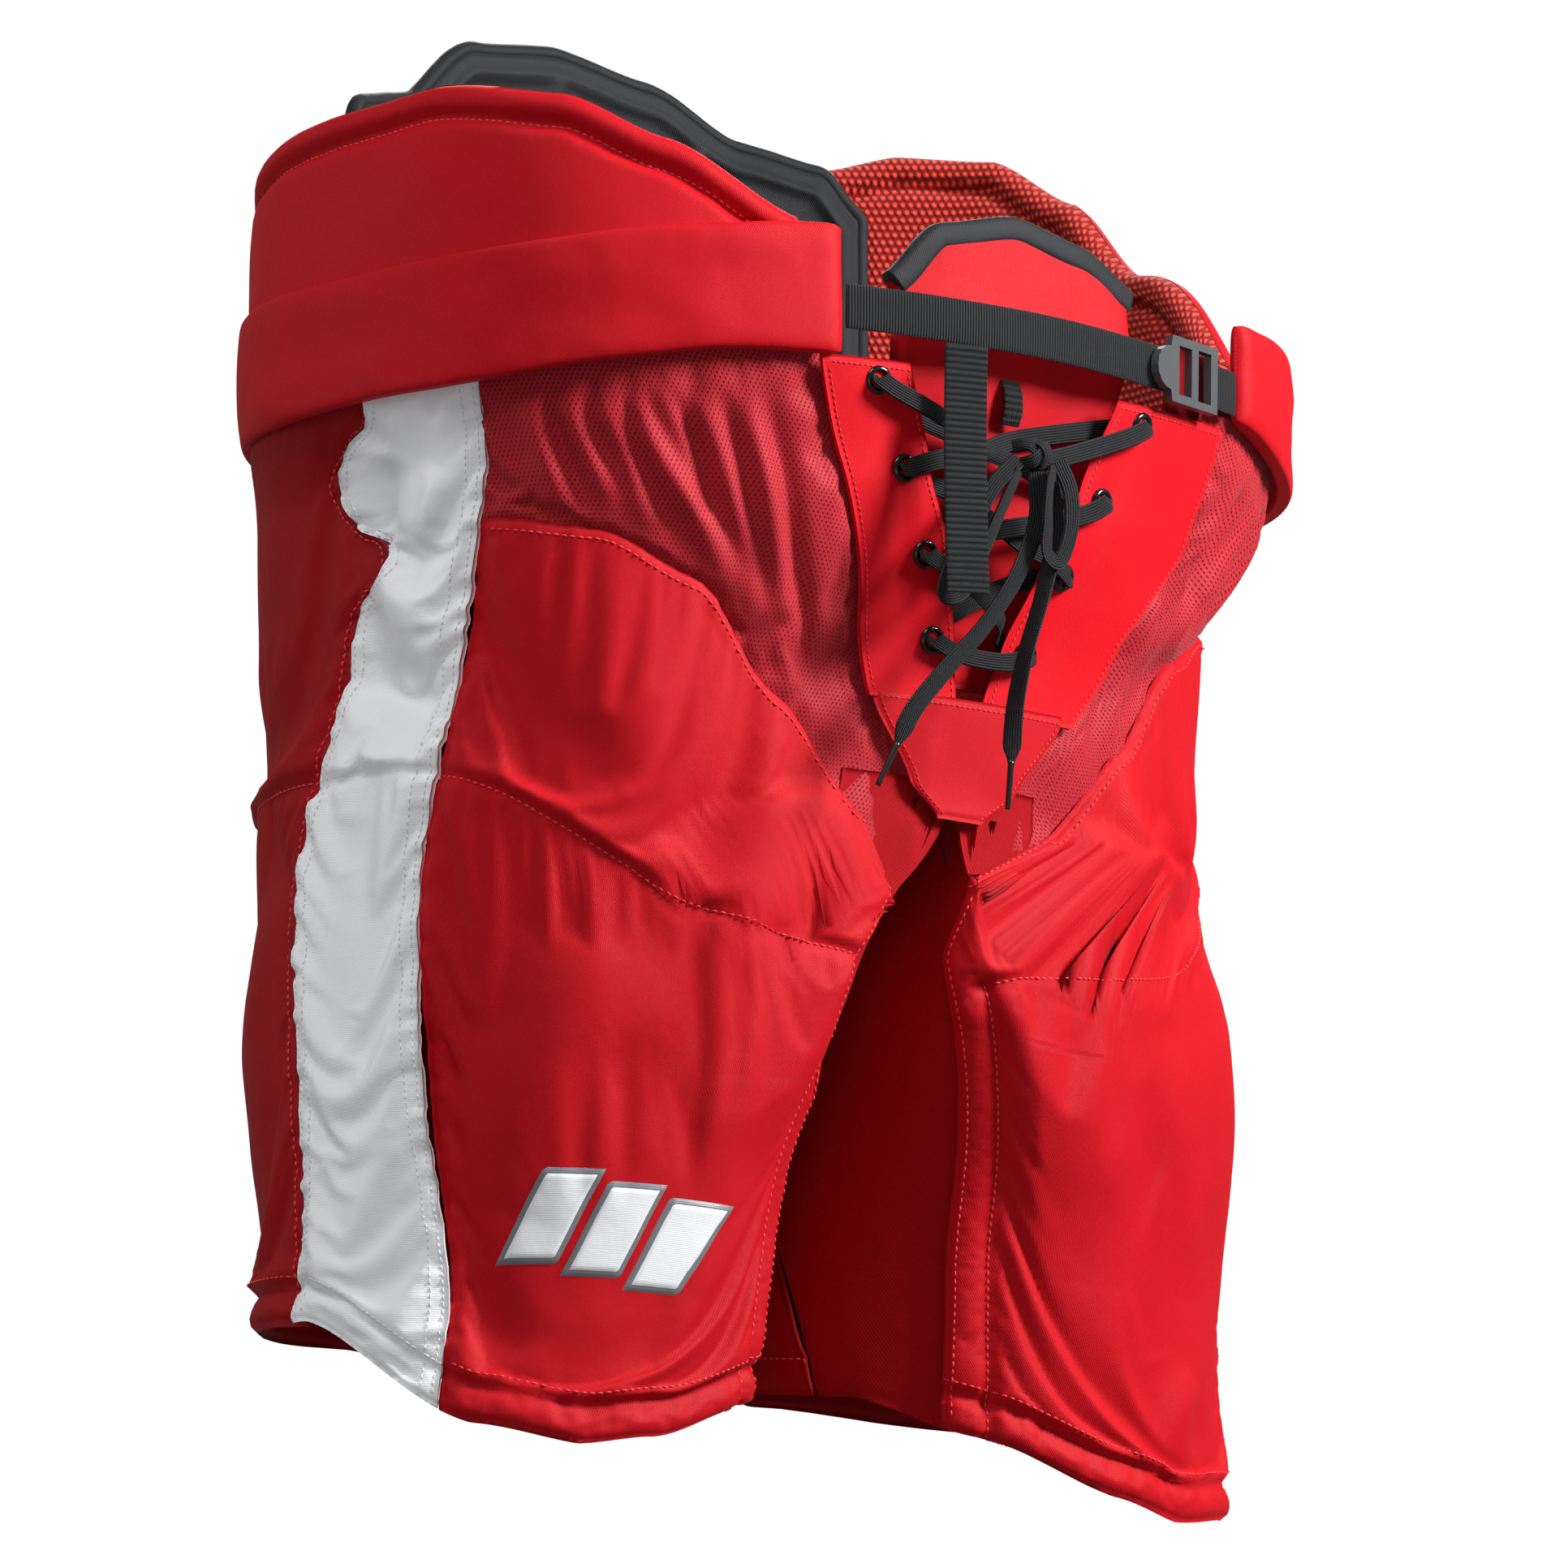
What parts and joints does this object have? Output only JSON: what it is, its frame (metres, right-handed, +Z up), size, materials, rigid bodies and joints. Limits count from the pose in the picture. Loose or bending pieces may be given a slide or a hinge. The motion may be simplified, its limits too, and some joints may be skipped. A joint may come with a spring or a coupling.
{
  "type": "ice hockey pants",
  "caption": "Padded ice hockey pants with a laced fly, webbing waist belt, kidney and spine pads, striped sides and flexing legs.",
  "frame": {"origin": "middle of the waist opening, at the belt's middle height", "axes": "+Z up to the wearer's head, -Y towards the wearer's front, -X towards the wearer's right"},
  "size_m": [0.4967, 0.3807, 0.6812],
  "materials": {
    "red_nylon": "matte",
    "red_mesh": "matte",
    "red_knit": "matte",
    "orange_lining": "matte",
    "white_stripe": "satin",
    "black_nylon": "matte",
    "black_webbing": "matte",
    "black_plastic": "satin",
    "guard_plastic": "satin",
    "foam": "matte",
    "eyelet_enamel": "gloss"
  },
  "bodies": {
    "waist": {"anchor_strap": "black_webbing", "crotch_gusset": "red_knit", "fly_shield": "red_nylon", "lace_knot": "black_webbing", "lacing": "black_webbing", "left_aglet": "black_plastic", "left_belt_sleeve": "red_nylon", "left_bow_loop": "black_webbing", "left_eyelet_1": "eyelet_enamel", "left_eyelet_2": "eyelet_enamel", "left_eyelet_3": "eyelet_enamel", "left_eyelet_4": "eyelet_enamel", "left_fly_facing": "red_nylon", "left_kidney_cover": "red_nylon", "left_kidney_foam": "foam", "left_kidney_lining": "orange_lining", "left_lace_end": "black_webbing", "left_mesh_vent": "red_mesh", "left_rear_yoke": "red_nylon", "right_aglet": "black_plastic", "right_belt_sleeve": "red_nylon", "right_bow_loop": "black_webbing", "right_eyelet_1": "eyelet_enamel", "right_eyelet_2": "eyelet_enamel", "right_eyelet_3": "eyelet_enamel", "right_eyelet_4": "eyelet_enamel", "right_fly_facing": "red_nylon", "right_kidney_cover": "red_nylon", "right_kidney_foam": "foam", "right_kidney_lining": "orange_lining", "right_lace_end": "black_webbing", "right_mesh_vent": "red_mesh", "right_rear_yoke": "red_nylon", "seat_panel": "red_nylon", "tailbone_guard": "guard_plastic", "waist_strap": "black_webbing"},
    "right_leg": {"right_hip_foam": "foam", "right_inner_panel": "red_nylon", "right_knit_gusset": "red_knit", "right_rear_panel": "red_nylon", "right_side_stripe": "white_stripe", "right_thigh_cap": "guard_plastic", "right_thigh_foam": "foam", "right_thigh_panel": "red_nylon"},
    "left_leg": {"left_hip_foam": "foam", "left_inner_panel": "red_nylon", "left_knit_gusset": "red_knit", "left_rear_panel": "red_nylon", "left_side_stripe": "white_stripe", "left_thigh_cap": "guard_plastic", "left_thigh_foam": "foam", "left_thigh_panel": "red_nylon"},
    "tongue": {"tongue": "red_nylon", "tongue_binding": "black_nylon", "lace_keeper": "black_webbing"},
    "spine_pad": {"spine_pad": "black_nylon"},
    "buckle": {"buckle": "black_plastic"},
    "strap_tail": {"strap_tail": "black_webbing"}
  },
  "joints": [
    {"name": "right_hip", "type": "hinge", "parent": "waist", "child": "right_leg", "pos_m": [0, 0.01, -0.15], "axis": [-1, 0, 0], "range_deg": [-8, 16], "deforming": ["right_mesh_vent", "right_rear_yoke", "crotch_gusset"]},
    {"name": "left_hip", "type": "hinge", "parent": "waist", "child": "left_leg", "pos_m": [0, 0.01, -0.15], "axis": [-1, 0, 0], "range_deg": [-8, 16], "deforming": ["left_mesh_vent", "left_rear_yoke"]},
    {"name": "tongue_fold", "type": "hinge", "parent": "waist", "child": "tongue", "pos_m": [0, -0.13, -0.146], "axis": [-1, 0, 0], "range_deg": [0, 22]},
    {"name": "spine_pad_fold", "type": "hinge", "parent": "waist", "child": "spine_pad", "pos_m": [0, 0.14, 0.037], "axis": [1, 0, 0], "range_deg": [0, 12], "stiffness_Nm_per_rad": 2},
    {"name": "buckle_tilt", "type": "hinge", "parent": "waist", "child": "buckle", "pos_m": [0.114, -0.176, 0.004], "axis": [0, 0, 1], "range_deg": [0, 20]},
    {"name": "strap_tail_swing", "type": "hinge", "parent": "waist", "child": "strap_tail", "pos_m": [-0.042, -0.194, -0.004], "axis": [-0.9397, 0.3419, 0], "range_deg": [0, 70]}
  ]
}
